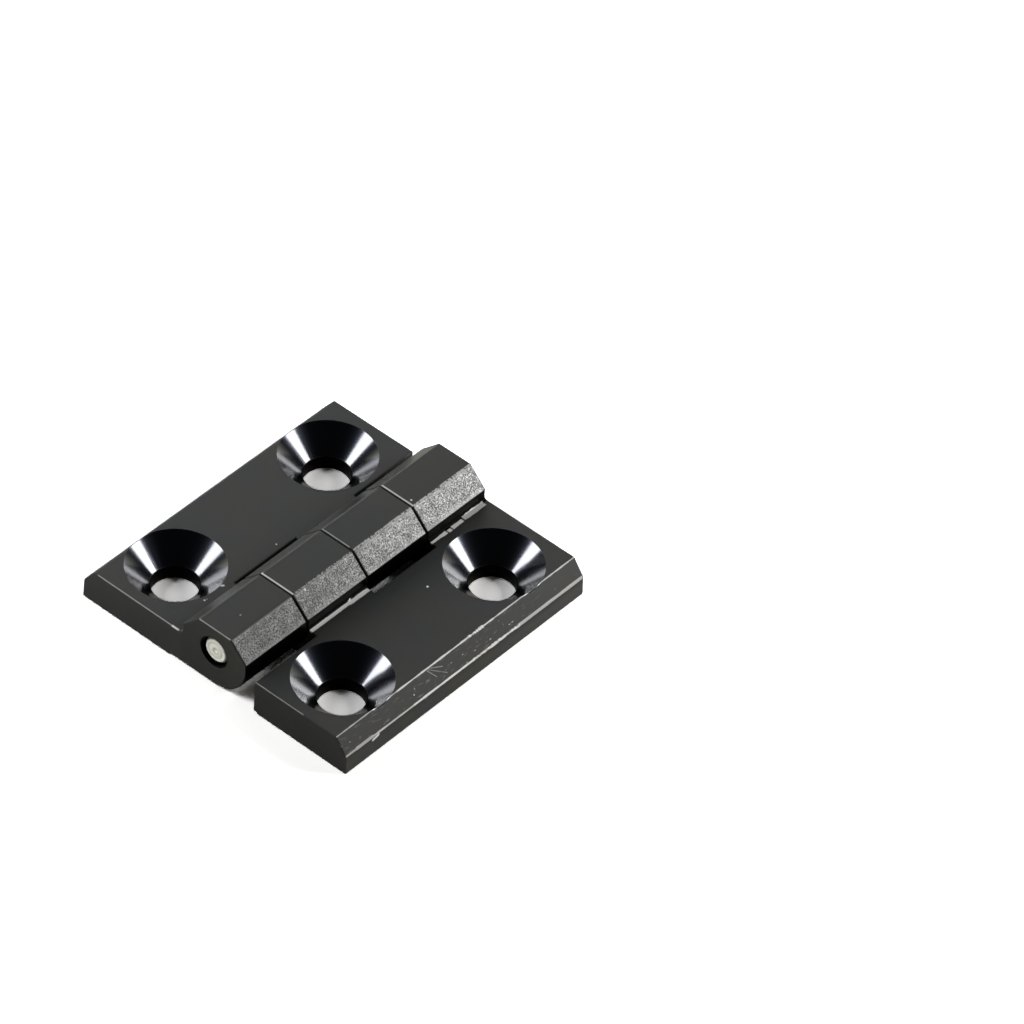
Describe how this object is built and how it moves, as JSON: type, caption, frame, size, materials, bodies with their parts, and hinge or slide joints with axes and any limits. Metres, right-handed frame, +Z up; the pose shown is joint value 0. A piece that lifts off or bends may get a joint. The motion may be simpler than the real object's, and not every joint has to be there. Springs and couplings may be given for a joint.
{
  "type": "plastic hinge",
  "caption": "Square black plastic leaf hinge lying open flat, with an interleaved faceted barrel, steel pin, countersunk screw holes and a cored underside.",
  "frame": {"origin": "on the mounting plane, straight below the middle of the pin, which is the centre of the open hinge's bottom", "axes": "+Z up, away from the mounting faces; +Y along the pin, towards the right leaf's end knuckle; +X across, towards the right leaf"},
  "size_m": [0.06, 0.06, 0.0128],
  "materials": {
    "left_leaf": "satin black glass-filled nylon",
    "right_leaf": "satin black glass-filled nylon",
    "hinge_pin": "zinc plated"
  },
  "bodies": {
    "left_side": {"left_leaf": "left_leaf", "hinge_pin": "hinge_pin"},
    "right_side": {"right_leaf": "right_leaf"}
  },
  "joints": [
    {"name": "leaf_swing", "type": "hinge", "parent": "left_side", "child": "right_side", "pos_m": [0, 0, 0.00755], "axis": [0, -1, 0], "range_deg": [-90, 180]}
  ]
}
